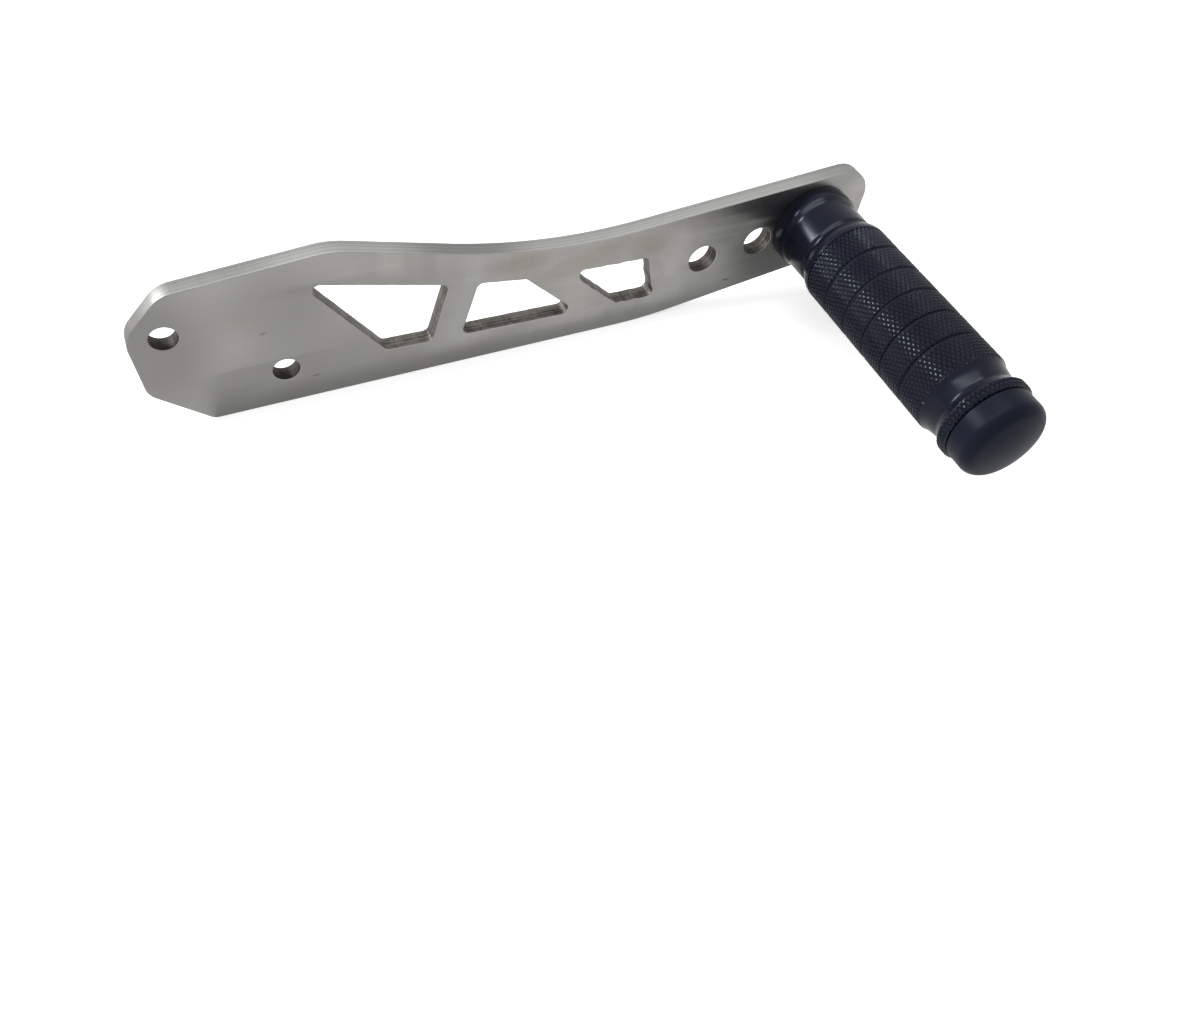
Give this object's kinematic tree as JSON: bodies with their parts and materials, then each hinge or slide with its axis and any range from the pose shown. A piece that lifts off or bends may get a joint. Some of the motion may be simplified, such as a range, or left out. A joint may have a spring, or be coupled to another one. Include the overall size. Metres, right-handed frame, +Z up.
{
  "type": "shift lock peg",
  "caption": "Knurled round foot peg bolted to the end of a flat steel bracket plate with cut-out windows, two fixing holes and spare peg holes.",
  "frame": {"origin": "centre of the upper fixing bore, on the plate's back face", "axes": "+X along the plate's straight lower edge towards the peg, +Z up in the plate's plane, -Y out of the front face along the peg"},
  "size_m": [0.2568, 0.1317, 0.0555],
  "materials": {
    "brushed_plate": "laser-cut stainless plate, lengthwise brushed, satin",
    "black_peg": "turned and knurled, bluish black anodised",
    "black_cap": "turned smooth, bluish black satin anodised",
    "screw_steel": "plain stainless button head",
    "washer_steel": "plain stainless washer"
  },
  "bodies": {
    "root": {"bracket_plate": "brushed_plate", "peg_body": "black_peg", "end_cap": "black_cap", "peg_screw": "screw_steel", "peg_washer": "washer_steel"}
  },
  "joints": []
}
